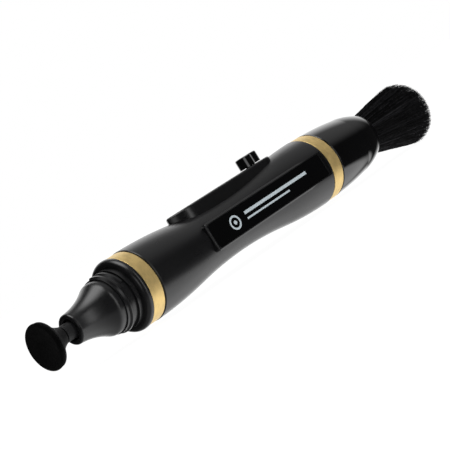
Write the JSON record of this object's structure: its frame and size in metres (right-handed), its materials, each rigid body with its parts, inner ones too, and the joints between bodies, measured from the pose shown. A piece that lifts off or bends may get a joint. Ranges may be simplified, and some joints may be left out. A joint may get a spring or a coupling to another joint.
{
  "type": "lens cleaning pen",
  "caption": "Black lens cleaning pen with gold trim rings, a brush slid out of its rear sleeve by a thumb button, and a tilting dished cleaning pad on a threaded nose.",
  "frame": {"origin": "on the pen's axis, in the front face of the collar's shoulder, where the screw cap closes", "axes": "+X along the pen from the cleaning pad towards the brush, +Z towards the slide button, label panels facing -Y and +Y"},
  "size_m": [0.1485, 0.0182, 0.0213],
  "materials": {
    "black_satin": "satin moulded plastic",
    "black_gloss": "polished plastic",
    "black_inner": "plain moulded plastic",
    "label": "satin film",
    "gold": "brushed, pale gold",
    "spring_steel": "rolled",
    "ferrule": "black anodised",
    "resin": "cast",
    "hair": "soft black hair",
    "stem_rubber": "matt",
    "head_plastic": "satin",
    "foam": "closed-cell foam",
    "pad_leather": "suede nap"
  },
  "bodies": {
    "casing": {"barrel": "black_satin", "label_plate_left": "label", "label_plate_right": "label", "front_trim_ring": "gold", "rear_trim_ring": "gold", "thread_collar": "black_satin", "nose_cone": "black_satin", "tip_retainer": "black_inner", "chamber_plug": "black_inner", "rear_sleeve": "black_gloss"},
    "slider": {"slide_button": "black_gloss", "slide_carriage": "black_inner", "detent_spring": "spring_steel", "brush_rod": "black_inner", "brush_ferrule": "ferrule", "bristle_plug": "resin", "bristle_core": "hair", "bristles": "hair"},
    "stem": {"tip_stem": "stem_rubber"},
    "head": {"pad_holder": "head_plastic", "pad_foam": "foam", "cleaning_pad": "pad_leather"}
  },
  "joints": [
    {"name": "brush_slide", "type": "slide", "parent": "casing", "child": "slider", "axis": [1, 0, 0], "range_m": [-0.028, 0], "deforming": ["bristles"]},
    {"name": "tip_tilt", "type": "hinge", "parent": "casing", "child": "stem", "pos_m": [-0.01334, 0, 0], "axis": [0, 1, 0], "range_deg": [-8, 8], "stiffness_Nm_per_rad": 0.05},
    {"name": "tip_swivel", "type": "hinge", "parent": "stem", "child": "head", "pos_m": [-0.0201, 0, 0], "axis": [0, 0, 1], "range_deg": [-7, 7], "stiffness_Nm_per_rad": 0.03}
  ]
}
